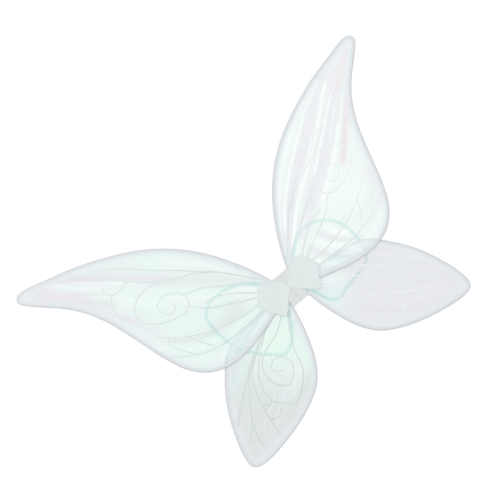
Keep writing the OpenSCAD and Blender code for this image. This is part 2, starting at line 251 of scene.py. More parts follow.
# Width and thickness of the elastic, height of its ribs, and half the width of its blend at the hinge
STRAP_W, STRAP_T, RIB, HINGE_HALF = 6.0, 1.0, 0.07, 0.9
LOOPS = {
    "left": [(-33, 32), (-48, 48), (-72, 67), (-102, 75), (-133, 72), (-151, 55), (-153, 28), (-149, 0),
             (-139, -28), (-120, -53), (-100, -72), (-81, -84), (-62, -77), (-45, -58), (-33, -36)],
    "right": [(33, 32), (50, 49), (74, 66), (100, 71), (125, 61), (144, 42), (152, 20), (154, -4), (151, -28),
              (139, -48), (114, -57), (82, -63), (56, -69), (40, -58), (32, -38)],
}


# The camera's lens and sensor in millimetres, its yaw, tilt and roll in degrees, and its place
LENS, SENSOR = 55.17, 36.0
CAMERA_TURN, CAMERA_PLACE = (-5.25, 101.67, -40.05), (-0.1374, -1.3758, -0.1826)
FLOOR_DROP = 0.72


# ---------------------------------------------------------------- camera and light

def make_camera():
    """The photograph's view: from below, turned a little and rolled."""
    data = bpy.data.cameras.new("camera")
    data.lens, data.sensor_width = LENS, SENSOR
    camera = link_object("camera", data)
    yaw, tilt, roll = (math.radians(a) for a in CAMERA_TURN)
    turn = Matrix.Rotation(yaw, 4, "Z") @ Matrix.Rotation(tilt, 4, "X") @ Matrix.Rotation(roll, 4, "Z")
    camera.matrix_world = Matrix.Translation(CAMERA_PLACE) @ turn
    bpy.context.scene.camera = camera


def area_light(name, place, size, power):
    """A square lamp that points at the origin."""
    data = bpy.data.lights.new(name, "AREA")
    data.shape, data.size, data.energy = "SQUARE", size, power
    light = link_object(name, data)
    light.location = place
    light.rotation_euler = (-Vector(place)).to_track_quat("-Z", "Y").to_euler()


def make_world(seen, lit):
    """White all round: at one strength where the camera sees it, at another as a light."""
    world = bpy.data.worlds.new("studio")
    world.use_nodes = True
    nodes, links = world.node_tree.nodes, world.node_tree.links
    path, mix = nodes.new("ShaderNodeLightPath"), nodes.new("ShaderNodeMix")
    mix.inputs["A"].default_value, mix.inputs["B"].default_value = lit, seen
    links.new(path.outputs["Is Camera Ray"], mix.inputs["Factor"])
    links.new(mix.outputs["Result"], nodes["Background"].inputs["Strength"])
    nodes["Background"].inputs["Color"].default_value = (1, 1, 1, 1)
    bpy.context.scene.world = world


# ---------------------------------------------------------------- small tools

def link_object(name, data):
    obj = bpy.data.objects.new(name, data)
    bpy.context.scene.collection.objects.link(obj)
    return obj


def make_object(name, verts, faces, material, smooth=True):
    mesh = bpy.data.meshes.new(name)
    mesh.from_pydata(np.asarray(verts, float).tolist(), [], faces)
    mesh.polygons.foreach_set("use_smooth", [smooth] * len(mesh.polygons))
    mesh.update()
    mesh.materials.append(material)
    return link_object(name, mesh)


def solid_piece(name, co, faces, material, cloth):
    """A closed mesh, normals outward. Cloth is where each vertex lies on the cloth, in millimetres."""
    piece = make_object(name, co, faces, MATERIALS[material])
    mesh = bmesh.new()
    mesh.from_mesh(piece.data)
    bmesh.ops.recalc_face_normals(mesh, faces=mesh.faces)
    mesh.to_mesh(piece.data)
    mesh.free()
    add_field(piece, "cloth", np.stack(np.broadcast_arrays(*cloth), -1))
    return piece


def add_field(obj, name, values):
    """A vector for each vertex, which materials read by its name."""
    layer = obj.data.attributes.new(name, "FLOAT_VECTOR", "POINT")
    layer.data.foreach_set("vector", np.asarray(values, np.float32).ravel())


def smoothstep(low, high, x):
    """0 at low and 1 at high, with soft ends."""
    t = np.clip((np.asarray(x, float) - low) / (high - low), 0, 1)
    return t * t * (3 - 2 * t)


def lengths_along(line):
    """Distance of each point of a line from its first point."""
    return np.concatenate([[0], np.cumsum(np.linalg.norm(np.diff(line, axis=0), axis=1))])


def points_at(stations, run, line):
    """Points of a line at the given distances, where run has the distance of each of its own points."""
    return np.stack([np.interp(stations, run, column) for column in line.T], 1)


def turn_angles(count):
    """Angles at equal steps round a full turn."""
    return np.arange(count) * 2 * math.pi / count


def nearest_on(points, a, b):
    """Each point's gap to the nearest of the segments a to b, which one that is, and the share along it."""
    ab = b - a
    found = []
    for chunk in np.array_split(points, max(1, len(points) // CHUNK)):
        t = np.clip(((chunk[:, None] - a) * ab).sum(2) / (ab * ab).sum(1), 0, 1)
        gap = np.linalg.norm(chunk[:, None] - (a + ab * t[..., None]), axis=2)
        i = gap.argmin(1)
        rows = np.arange(len(chunk))
        found.append((gap[rows, i], i, t[rows, i]))
    return [np.concatenate(part) for part in zip(*found)]


def curve_through(points, spacing):
    """Points at equal distances along a smooth open curve through the given points."""
    p = np.asarray(points, float)
    p = np.vstack([p[:1], p, p[-1:]])
    t = np.linspace(0, 1, 9)[:-1, None]
    parts = []
    for a, b, c, d in zip(p, p[1:], p[2:], p[3:]):
        parts.append(0.5 * (2 * b + (c - a) * t + (2 * a - 5 * b + 4 * c - d) * t ** 2
                            + (3 * b - a - 3 * c + d) * t ** 3))
    fine = np.vstack(parts + [p[-1:]])
    run = lengths_along(fine)
    return points_at(np.linspace(0, run[-1], max(3, int(round(run[-1] / spacing)) + 1)), run, fine)


def curve_normals(p):
    """Unit normals of an open plane curve, to the left of its direction."""
    d = np.gradient(p, axis=0)
    d /= np.linalg.norm(d, axis=1)[:, None]
    return np.stack([-d[:, 1], d[:, 0]], 1)


def waves(x, seed, count, low, high):
    """A smooth random function of x with a height of about 1."""
    rng = np.random.default_rng(seed)
    total = np.zeros_like(x)
    for _ in range(count):
        total += np.sin(x * rng.uniform(low, high) + rng.uniform(0, 2 * math.pi)) * rng.uniform(0.4, 1)
    return total / math.sqrt(count / 2)


# ---------------------------------------------------------------- the frame of one half

class Half:
    """Flat coordinates of one half: x from the middle plane, z up, and depth in front of the back."""

    def __init__(self, name):
        self.name, self.side, self.body = name, SIDES[name], "half_" + name
        pivot = JOINTS["fold_" + name]["pos_m"]
        self.px, self.py = abs(pivot[0]), pivot[1]
        co = vertices(NODES["rear_film_fore_" + name])
        normal = np.linalg.svd(co - co.mean(0), full_matrices=False)[2][-1]
        self.lean = math.atan2(abs(normal[0]), abs(normal[1]))
        self.forward = np.array([-self.side * math.sin(self.lean), -math.cos(self.lean), 0])

    def world(self, x, z, depth):
        """Points of the frame from flat coordinates."""
        dx, dy = np.asarray(x) - self.px, -np.asarray(depth) - self.py
        c, s = math.cos(self.lean), math.sin(self.lean)
        flat_x, flat_y = self.px + dx * c + dy * s, self.py - dx * s + dy * c
        return np.stack([self.side * flat_x, flat_y, np.broadcast_to(z, flat_x.shape)], -1)

    def world_to_middle(self, x, z, depth):
        """The same, but never past the middle plane."""
        co = self.world(x, z, depth)
        co[:, 0] = self.side * np.maximum(self.side * co[:, 0], 0)
        return co

    def flat(self, co):
        """Flat coordinates of points of the frame."""
        dx, dy = self.side * co[:, 0] - self.px, co[:, 1] - self.py
        c, s = math.cos(self.lean), math.sin(self.lean)
        return self.px + dx * c - dy * s, co[:, 2], -(self.py + dx * s + dy * c)


def vertices(obj):
    """Coordinates of a mesh's vertices."""
    co = np.empty(len(obj.data.vertices) * 3)
    obj.data.vertices.foreach_get("co", co)
    return co.reshape(-1, 3)


def cap_outline(node, half):
    """The outline of a flat plate's front face, as points (x, z), and the face's depth."""
    x, z, depth = half.flat(vertices(NODES[node]))
    front = depth > depth.max() - 0.02 * MM
    key = [(round(a, 6), round(b, 6)) for a, b in zip(x, z)]
    edges = {}
    for polygon in NODES[node].data.polygons:
        ring = list(polygon.vertices)
        if all(front[i] for i in ring):
            for i, j in zip(ring, ring[1:] + ring[:1]):
                pair = frozenset((key[i], key[j]))
                edges[pair] = None if pair in edges else (key[i], key[j])
    follow = dict(e for e in edges.values() if e)
    loop = [next(iter(follow))]
    while follow[loop[-1]] != loop[0]:
        loop.append(follow[loop[-1]])
    return np.array(loop), depth[front].mean()


# ---------------------------------------------------------------- lobes

def mean_value(polygon, values, points):
    """Mean value interpolation of values at a closed polygon's corners."""
    result = []
    for chunk in np.array_split(points, max(1, len(points) // CHUNK)):
        d = polygon[None] - chunk[:, None]
        r = np.linalg.norm(d, axis=2) + 1e-9
        e, re = np.roll(d, -1, 1), np.roll(r, -1, 1)
        cross = d[..., 0] * e[..., 1] - d[..., 1] * e[..., 0]
        half_tan = cross / (r * re + (d * e).sum(2) + 1e-12)
        w = (half_tan + np.roll(half_tan, 1, 1)) / r
        result.append((w * values).sum(1) / w.sum(1))
    return np.concatenate(result)


class Lobe:
    """Outline of one lobe's film, and its fields: stream across the pleats, reach from the root, edge gap."""

    def __init__(self, pair, half):
        self.pair, self.half, self.tag = pair, half, pair + "_" + half.name
        self.seed = SEEDS[self.tag]
        self.away = 1 if pair == "fore" else -1
        loop, self.front_depth = cap_outline("front_film_" + self.tag, half)
        _, self.rear_depth = cap_outline("rear_film_" + self.tag, half)
        gaps = np.linalg.norm(np.roll(loop, -1, 0) - loop, axis=1)
        loop = np.roll(loop, -(int(gaps.argmax()) + 1), 0)
        if abs(loop[0, 1]) < abs(loop[-1, 1]):
            loop = loop[::-1]
        ends = np.array(ROOT_ENDS[pair]) * MM
        self.outline = curve_through(np.vstack([ends[:1], loop, ends[1:]]), 3.0 * MM)
        self.centre = self.outline.mean(0)
        self.middle = (self.front_depth + self.rear_depth - FILM_T) / 2
        self.root = (self.outline[0] + self.outline[-1]) / 2
        self.run = lengths_along(self.outline)
        far = np.linalg.norm(self.outline - self.root, axis=1)
        share = self.run / self.run[-1]
        self.size, tip = far.max(), share[far.argmax()]
        stops = [(tip + a if near_tip else a, value) for near_tip, a, value in STREAMS[pair]]
        self.edge_stream = np.interp(share, *zip(*stops))

    def fields(self, x, z):
        """Stream, reach, distance from the edge, and the place along the edge."""
        points = np.stack([x, z], 1)
        reach = np.linalg.norm(points - self.root, axis=1) / self.size
        return mean_value(self.outline, self.edge_stream, points), reach, *self.edge_distance(points)

    def edge_distance(self, points):
        """Distance to the edge, and the place along the edge of the nearest point."""
        gap, i, t = nearest_on(points, self.outline[:-1], self.outline[1:])
        return gap, self.run[i] + t * (self.run[i + 1] - self.run[i])

    def relief(self, stream, reach, edge, along):
        """How far the film stands off its flat place, away from the other lobe."""
        rng = np.random.default_rng(self.seed)
        height = 0.55 * (1 + waves(stream, self.seed + 1, 4, 8, 26))
        for _ in range(PLEATS):
            place, width = rng.uniform(0, 1), rng.uniform(0.010, 0.026)
            bend, start, end = rng.uniform(-0.05, 0.05), rng.uniform(0.05, 0.45), rng.uniform(0.55, 1.05)
            offset = np.abs(stream - place - bend * (reach - 0.5))
            window = smoothstep(start - 0.12, start + 0.12, reach)
            window = window * (1 - smoothstep(end - 0.15, end + 0.15, reach))
            height += rng.uniform(0.5, 1.3) * np.exp(-offset / width) * window
        hem = smoothstep(5.5 * MM, 22 * MM, edge)
        sleeve = smoothstep(52 * MM, 84 * MM, reach * self.size)
        pucker = 0.35 * (1 + waves(along / MM, self.seed + 2, 5, 0.22, 0.6))
        pucker = pucker * smoothstep(5 * MM, 8 * MM, edge) * np.exp(-(edge - 6 * MM) / (9 * MM))
        return MM * sleeve * (1.05 * np.clip(height, 0, 2.6) * hem + np.clip(pucker, 0, 1))


def outward(curve, centre):
    """Unit normals of a curve that point away from the centre."""
    normals = curve_normals(curve)
    return normals * np.sign(((curve - centre) * normals).sum(1).mean())


def streak_weight(streak, stream, reach):
    """How strongly a streak shows: most on its line, and softly less away from it."""
    _, width, strength, *path = streak
    line = curve_through(np.array(path) / 100, 0.05)
    gap, _, _ = nearest_on(np.stack([stream, reach], 1), line[:-1], line[1:])
    return strength * np.exp(-(100 * gap / width) ** 2)


def film_tints(lobe, stream, reach):
    """Weights of the film's tints, three to a field."""
    weights = {tint: np.zeros(len(stream)) for tint in TINTS}
    for tint, low, high, at_root, at_tip in BASE_TINTS[lobe.tag]:
        weights[tint] += at_root + (at_tip - at_root) * smoothstep(low, high, reach)
    for streak in STREAKS[lobe.tag]:
        weights[streak[0]] += streak_weight(streak, stream, reach)
    flat = np.clip(list(weights.values()), 0, 1).T
    return flat[:, :3], flat[:, 3:]


def film_pieces(lobe):
    """Both layers of a lobe's film, as fans of spokes from the root to the wire. Gives the front one."""
    share = np.linspace(0, 1, FILM_RINGS + 1)[1:]
    closer_near_edge = 0.03 + 0.97 * (share * (1.25 - 0.25 * share))
    rim = lobe.outline - outward(lobe.outline, lobe.centre) * FILM_INSET
    grid = lobe.root + (rim[:, None] - lobe.root) * closer_near_edge[:, None]
    fields = lobe.fields(grid[..., 0].ravel(), grid[..., 1].ravel())
    tints = film_tints(lobe, *fields[:2])
    film_piece(lobe, "rear", rim, grid, fields, tints)
    return film_piece(lobe, "front", rim, grid, fields, tints)


def film_piece(lobe, layer, rim, grid, fields, tints):
    """One layer of film, pleated away from the other lobe; the rearmost layer has half the relief."""
    depth = lobe.front_depth if layer == "front" else lobe.rear_depth
    share = 0.5 if lobe.pair == "hind" and layer == "rear" else 1.0
    x, z = grid[..., 0].ravel(), grid[..., 1].ravel()
    co = lobe.half.world(x, z, depth + lobe.away * share * lobe.relief(*fields))
    rings = FILM_RINGS
    faces = [(i * rings + j, (i + 1) * rings + j, (i + 1) * rings + j + 1, i * rings + j + 1)
             for i in range(len(rim) - 1) for j in range(rings - 1)]
    piece = make_object(layer + "_film_" + lobe.tag + "_pleated", co, faces, MATERIALS["film"])
    stream, reach, edge, _ = fields
    add_field(piece, "film", np.stack([stream, reach, edge / MM], 1))
    add_field(piece, "tint_a", tints[0])
    add_field(piece, "tint_b", tints[1])
    piece.visible_shadow = piece.visible_diffuse = False
    place_piece(piece, lobe.half.body, "film", layer + "_film_" + lobe.tag)
    return piece


def place_piece(piece, body, slot, *nodes):
    """The piece rides on a body and stands for CAD nodes, which are hidden. The slot is not used."""
    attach(piece, body)
    if nodes:
        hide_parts(*nodes)


def sweep_faces(stations, sides, closed=False):
    """Faces of a tube with that many rings and sides, which closes on itself or is capped at both ends."""
    faces = []
    for i in range(stations if closed else stations - 1):
        here, there = i * sides, (i + 1) % stations * sides
        faces += [(here + j, here + (j + 1) % sides, there + (j + 1) % sides, there + j)
                  for j in range(sides)]
    if not closed:
        faces.append(tuple(range(sides))[::-1])
        faces.append(tuple((stations - 1) * sides + j for j in range(sides)))
    return faces


def hem_piece(lobe):
    """Tape folded over the lobe's edge and sewn down, with small puckers along its inner edge."""
    curve = curve_through(lobe.outline + outward(lobe.outline, lobe.centre) * EDGE_GAP, HEM_STEP)
    inward = -outward(curve, lobe.centre)
    profile = HEM_OUTSIDE + [(e * HEM_REAR, -d) for e, d in HEM_OUTSIDE[-2::-1]]
    profile += [(e * HEM_REAR, -d) for e, d in HEM_INSIDE] + HEM_INSIDE[-2::-1]
    e, d = np.array(profile).T * MM
    run = lengths_along(curve)
    pucker = waves(run / MM, lobe.seed + 30, 6, 0.3, 0.8)[:, None]
    roll = waves(run / MM, lobe.seed + 31, 5, 0.1, 0.3)[:, None]
    loose = smoothstep(2.5 * MM, 6 * MM, e)
    reach_in = e + loose * (0.30 * pucker + 0.25 * roll) * MM
    swell = d * (1 + 0.05 * loose * pucker)
    points = curve[:, None] + inward[:, None] * reach_in[..., None]
    co = lobe.half.world(points[..., 0].ravel(), points[..., 1].ravel(), lobe.middle + swell.ravel())
    piece = make_object("hem_" + lobe.tag, co, sweep_faces(len(curve), len(profile)), MATERIALS["hem"])
    add_field(piece, "cloth", np.stack(np.broadcast_arrays(run[:, None], reach_in, swell), -1) / MM)
    piece.visible_shadow = False
    place_piece(piece, lobe.half.body, "edge_tape", "edge_tape_" + lobe.tag)
    stitches = hem_stitches(lobe, run, curve, inward)


def hem_stitches(lobe, run, curve, inward):
    """A running stitch on both faces of the hem, clear of the lace."""
    stitches = []
    first = np.arange(STITCH_ENDS, run[-1] - STITCH_ENDS, STITCH_PITCH)
    for face, row in ((1, STITCH_LINE), (-1, STITCH_LINE * HEM_REAR)):
        line = curve + inward * row
        ends = [points_at(first + along, run, line) for along in (0, STITCH_LENGTH)]
        clear = np.minimum(ends[0][:, 0], ends[1][:, 0]) > LACE_REACH
        depth = lobe.middle + face * STITCH_DEPTH
        a, b = (lobe.half.world(*end[clear].T, depth) for end in ends)
        stitches.append((a, b, np.broadcast_to(lobe.half.forward * face, a.shape)))
    piece = thread_piece("hem_stitches_" + lobe.tag, lobe.half.body, stitches, radius=0.13 * MM)
    piece.visible_shadow = False
    return piece


def thread_piece(name, body, stitches, radius, material="thread", nodes=()):
    """Short stitches, as arched and tapered threads, from sets of starts, ends and ways up."""
    starts, ends, ups = (np.vstack(part) for part in zip(*stitches))
    along = ends - starts
    length = np.linalg.norm(along, axis=1)[:, None]
    along = along / length
    side = np.cross(along, ups)
    side /= np.linalg.norm(side, axis=1)[:, None]
    up = np.cross(side, along)
    co = []
    for share, girth, arch in THREAD_STATIONS:
        middle = starts + along * length * share + up * arch * radius
        for a in turn_angles(THREAD_SIDES):
            co.append(middle + (side * math.cos(a) + up * math.sin(a)) * girth * radius)
    one = sweep_faces(len(THREAD_STATIONS), THREAD_SIDES)
    faces = [tuple(len(co) * n + i for i in face) for n in range(len(starts)) for face in one]
    piece = make_object(name, np.stack(co, 1).reshape(-1, 3), faces, MATERIALS[material])
    place_piece(piece, body, "thread", *nodes)
    return piece


def vein_piece(lobe, film):
    """The printed glitter lines, laid on the pleated film."""
    mesh = bmesh.new()
    mesh.from_mesh(NODES["veins_" + lobe.tag].data)
    bmesh.ops.remove_doubles(mesh, verts=mesh.verts, dist=0.01 * MM)
    for _ in range(3):
        long_edges = [e for e in mesh.edges if e.calc_length() > VEIN_STEP]
        bmesh.ops.subdivide_edges(mesh, edges=long_edges, cuts=1)
        bmesh.ops.triangulate(mesh, faces=mesh.faces)
    mesh.normal_update()
    x, z, depth = lobe.half.flat(np.array([v.co for v in mesh.verts]))
    normals = np.array([v.normal for v in mesh.verts])
    sideways = np.stack([lobe.half.side * normals[:, 0], normals[:, 2]])
    length = np.linalg.norm(sideways, axis=0)
    x, z = (x, z) + sideways * np.where(length > 0.3, VEIN_SPREAD / np.maximum(length, 0.3), 0)
    raised = np.maximum(depth - lobe.front_depth, 0) * 1.2 - 0.05 * MM
    co = lobe.half.world(x, z, film_surface(lobe, film, x, z) + raised + VEIN_CLEAR)
    for v, place in zip(mesh.verts, co):
        v.co = place
    name = "glitter_veins_" + lobe.tag
    data = bpy.data.meshes.new(name)
    mesh.to_mesh(data)
    mesh.free()
    data.materials.clear()
    data.materials.append(MATERIALS["glitter"])
    piece = link_object(name, data)
    add_field(piece, "cloth", np.stack([x, z, depth], 1) / MM)
    near, far, dull = VEIN_LIGHT[lobe.tag]
    beyond = smoothstep(VEIN_NEAR, VEIN_FAR, np.hypot(x, z))
    add_field(piece, "catch", np.stack([near + (far - near) * beyond, dull * beyond, 0 * x], 1))
    piece.visible_shadow = False
    place_piece(piece, lobe.half.body, "glitter", "veins_" + lobe.tag)


def film_surface(lobe, film, x, z):
    """Depth of the film's own mesh in front of each point, or of its flat place beyond its edge."""
    tree = BVHTree.FromPolygons(vertices(film).tolist(), [tuple(p.vertices) for p in film.data.polygons])
    starts = lobe.half.world(x, z, lobe.front_depth + RAY_START)
    gaps = [tree.ray_cast(Vector(start), Vector(-lobe.half.forward))[3] for start in starts]
    return np.array([lobe.front_depth + (0 if gap is None else RAY_START - gap) for gap in gaps])


# ---------------------------------------------------------------- lace, pad and elastics

def plate_piece(name, ring, world, layers, material, rings=36):
    """A closed sheet inside a ring of points (x, z): layers(x, z, edge) gives its two depths."""
    centre = ring.mean(0)
    shares = np.concatenate([np.linspace(0.04, 0.9, rings - 8), np.linspace(0.92, 1, 8)])
    grid = centre + (ring[None] - centre) * shares[:, None, None]
    points = np.vstack([grid.reshape(-1, 2), centre])
    x, z = points.T
    edge, _, _ = nearest_on(points, ring, np.roll(ring, -1, 0))
    near, far = layers(x, z, edge)
    count, spokes = len(x), len(ring)
    last = (rings - 1) * spokes
    after = [(j + 1) % spokes for j in range(spokes)]
    faces = [(i + j, i + k, i + spokes + k, i + spokes + j)
             for i in range(0, last, spokes) for j, k in enumerate(after)]
    faces += [(count - 1, k, j) for j, k in enumerate(after)]
    faces += [tuple(count + i for i in reversed(face)) for face in faces]
    faces += [(last + j, last + k, count + last + k, count + last + j) for j, k in enumerate(after)]
    co = np.vstack([world(x, z, far), world(x, z, near)])
    return solid_piece(name, co, faces, material, [np.tile(values, 2) / MM for values in (x, z, edge)])


def closed_ring(points, spacing):
    """Equally spaced points round a closed outline, without repeating the first."""
    p = np.vstack([points, points[:1]])
    run = lengths_along(p)
    return points_at(np.linspace(0, run[-1], int(run[-1] / spacing) + 1)[:-1], run, p)


def rounded_ring(ring, passes):
    """The same closed outline with softer corners."""
    for _ in range(passes):
        ring = (np.roll(ring, 1, 0) + 2 * ring + np.roll(ring, -1, 0)) / 4
    return ring


def lace_patch(half, layer):
    """One lace layer of a root sleeve, drawn in to the fold line and rolled into a hem all round."""
    away, pair, room, low, high = LACE_LAYERS[layer]
    node, lobe, room = "sleeve_" + layer + "_" + half.name, LOBES[pair, half.name], room * MM
    outline, front_depth = cap_outline(node, half)
    inner = outline[:, 0].min()
    neck = FOLD_NECK if layer == "front" else inner - REAR_NECK
    outline[:, 0] -= neck * (1 - smoothstep(inner, 4 * inner, outline[:, 0]))
    ring = rounded_ring(closed_ring(outline, 0.9 * MM), 5)
    centre = ring.mean(0)

    def layers(x, z, edge):
        hem = smoothstep(0, 0.5 * MM, edge) * (1 - smoothstep(2.4 * MM, 3.0 * MM, edge))
        thick = LACE_T * (0.35 + 0.45 * smoothstep(0, 0.8 * MM, edge)) + 0.5 * MM * hem
        gap, _ = lobe.edge_distance(np.stack([x, z], 1))
        over_hem = (room * 0.5 + 0.12 * MM) * (1 - smoothstep(5 * MM, 9 * MM, gap))
        settle = (over_hem - room) * smoothstep(18 * MM, 23 * MM, x)
        turn = np.arctan2(z - centre[1], x - centre[0])
        pucker = 0.22 * MM * waves(turn, lobe.seed + 50, 6, 9, 30) * np.exp(-edge / (6 * MM))
        sag = 0.20 * MM * waves(x / MM, lobe.seed + 51, 3, 0.12, 0.3)
        sag = sag * waves(z / MM, lobe.seed + 52, 3, 0.1, 0.25)
        calm = smoothstep(3 * MM, 10 * MM, x) * (pucker + sag * smoothstep(0, 9 * MM, edge))
        low_down = smoothstep(-4 * MM, -16 * MM, z) * smoothstep(14 * MM, 26 * MM, x)
        proud = 1.3 * MM * smoothstep(9 * MM, 1 * MM, edge) * low_down
        middle = front_depth - LACE_T / 2 + away * (settle + calm + proud)
        return middle - thick / 2, middle + thick / 2

    piece = plate_piece("lace_" + node, ring, half.world, layers, "lace", rings=44)
    piece.visible_diffuse = False
    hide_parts(node)
    stitches = overcast(node, ring, half, layers, away)
    blend_from_middle(piece, half)


def blend_from_middle(piece, half):
    """Bakes the piece's placement into its mesh. The half is not used."""
    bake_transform(piece)


def overcast(node, ring, half, layers, away):
    """Slanted stitches over the hem of a lace patch, outside the fold."""
    dense = closed_ring(ring, 2.6 * MM)
    centre = ring.mean(0)
    keep = dense[:, 0] > 16 * MM
    ends = []
    for line, share, edge, clear in ((dense, 0.998, 0.2, 0.05), (np.roll(dense, -1, 0), 0.94, 2.2, 0.08)):
        x, z = (centre + (line - centre) * share)[keep].T
        depth = layers(x, z, np.full(len(x), edge * MM))[1 if away > 0 else 0]
        ends.append(half.world(x, z, depth + away * clear * MM))
    ups = np.broadcast_to(half.forward * away, ends[0].shape)
    return thread_piece(node + "_stitches", half.body, [(*ends, ups)], radius=0.14 * MM)


def lace_band(half):
    """The narrow lace band beside the fold line, drawn in a little at the fold."""
    outline, depth = cap_outline("lace_band_" + half.name, half)
    x_far, top = outline.max(0)
    bottom = outline[:, 1].min()
    ring = closed_ring(np.array([[0, bottom], [x_far, bottom], [x_far, top], [0, top]]), 0.7 * MM)

    def layers(x, z, edge):
        rim = smoothstep(0, 0.6 * MM, edge)
        hem = rim * (1 - smoothstep(2.0 * MM, 2.6 * MM, edge)) * smoothstep(2.0 * MM, 4.0 * MM, x)
        fold = 0.5 * MM * np.exp(-(x / (1.4 * MM)) ** 2)
        ripple = 0.12 * MM * (1 + waves(z / MM, 71, 5, 0.5, 1.4)) * np.exp(-x / (5 * MM))
        front = depth - fold - np.maximum(ripple, 0) - 0.12 * MM * (1 - rim)
        return front - MM * (0.2 + 0.2 * rim + 0.3 * hem), front

    piece = plate_piece("lace_band_knit_" + half.name, ring, half.world_to_middle, layers, "band", rings=40)
    piece.visible_shadow = piece.visible_diffuse = False
    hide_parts("lace_band_" + half.name)
    blend_from_middle(piece, half)


def spine_piece():
    """The folded lace strip between the pad and the fold lines."""
    low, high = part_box("spine_strip")
    sides, stations = 40, 70
    z = np.linspace(low.z, high.z, stations)[:, None]
    c, s = np.cos(turn_angles(sides)), np.sin(turn_angles(sides))
    rounding = 1 - 0.35 * np.exp(-np.minimum(z - low.z, high.z - z) / (1.2 * MM))
    ripple = 1 + 0.06 * np.sin(z / MM * 1.7) * np.sin(z / MM * 0.6)
    x = high.x * np.copysign(np.abs(c) ** 0.45, c) * rounding * ripple
    swell = (high.y - low.y) / 2 * np.copysign(np.abs(s) ** 0.35, s) * (0.97 + 0.03 * rounding)
    x, y, z = (part.ravel() for part in np.broadcast_arrays(x, (low.y + high.y) / 2 + swell, z))
    piece = solid_piece("spine_lace_strip", np.stack([x, y, z], 1), sweep_faces(stations, sides), "band",
                        (y / MM, z / MM, x / MM))
    place_piece(piece, "pad", "lace", "spine_strip")


def pad_pieces():
    """A small pillow: two covers over a foam core, with a bound edge and a stitched channel."""
    low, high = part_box("pad_foam")
    half_w, half_h, radius = high.x, high.z, PAD_RADIUS
    corners = ((half_w - radius, half_h - radius), (radius - half_w, half_h - radius),
               (radius - half_w, radius - half_h), (half_w - radius, radius - half_h))
    corner = [(x + radius * math.cos(a), z + radius * math.sin(a))
              for quarter, (x, z) in enumerate(corners)
              for a in np.radians(np.linspace(90 * quarter, 90 * quarter + 90, 13))]
    ring = closed_ring(np.array(corner), 1.0 * MM)
    middle, swell = -(low.y + high.y) / 2, (high.y - low.y) / 2

    def crown(edge):
        bulge = np.sqrt(1 - (1 - np.clip(edge / (4.5 * MM), 0, 1)) ** 2)
        return swell * (bulge - 0.45 * np.exp(-((edge - CHANNEL_IN) / (0.9 * MM)) ** 2))

    def straight(x, z, depth):
        return np.stack([x, -depth, z], -1)

    def foam(x, z, edge):
        half_t = crown(edge + MM) - 0.05 * MM
        return middle - half_t, middle + half_t

    def cover(away):
        def layers(x, z, edge):
            inner = middle + away * crown(edge)
            outer = inner + away * COVER_T * (0.5 + 0.5 * smoothstep(0, 1.5 * MM, edge))
            return np.minimum(inner, outer), np.maximum(inner, outer)
        return layers

    core = plate_piece("pad_foam_core", ring * (1 - 1.2 * MM / half_w), straight, foam, "foam")
    place_piece(core, "pad", "foam", "pad_foam")
    for name, away in (("front", 1), ("back", -1)):
        piece = plate_piece("pad_" + name + "_cloth", ring, straight, cover(away), "pad", rings=40)
        place_piece(piece, "pad", "pad_cover", "pad_" + name + "_cover")
    binding(ring, middle)
    channel_stitches(ring, middle, swell)


def ring_normals(ring):
    """Unit normals of a closed ring round the origin, pointing out of it."""
    d = np.roll(ring, -1, 0) - np.roll(ring, 1, 0)
    normal = np.stack([d[:, 1], -d[:, 0]], 1) / np.linalg.norm(d, axis=1)[:, None]
    return normal * np.sign((normal * ring).sum(1))[:, None]


def binding(ring, middle):
    """A narrow tape wrapped over the pad's edge."""
    sides = 14
    angles = turn_angles(sides)
    out, up = MM * (1.5 * np.cos(angles) - 1.2), 1.25 * MM * np.sin(angles)
    x, z = np.moveaxis(ring[:, None] + ring_normals(ring)[:, None] * out[:, None], -1, 0)
    y = np.broadcast_to(-(middle + up), x.shape)
    run = np.arange(len(ring))[:, None]
    co = np.stack([x, y, z], -1).reshape(-1, 3)
    piece = solid_piece("pad_binding", co, sweep_faces(len(ring), sides, closed=True), "binding",
                        (run, y / MM, 0 * x))
    place_piece(piece, "pad", "pad_cover")


def channel_stitches(ring, middle, swell):
    """Stitches along the groove of the pad, on both faces."""
    line = closed_ring(ring - ring_normals(ring) * CHANNEL_IN, 3.0 * MM)
    after = line + (np.roll(line, -1, 0) - line) * 0.68
    stitches = []
    for away in (1, -1):
        depth = np.full(len(line), middle + away * (swell * 0.60 + COVER_T))
        a, b = (np.stack([end[:, 0], -depth, end[:, 1]], 1) for end in (line, after))
        stitches.append((a, b, np.tile([0.0, -away, 0.0], (len(line), 1))))
    thread_piece("pad_channel_stitches", "pad", stitches, radius=0.2 * MM, material="seam")


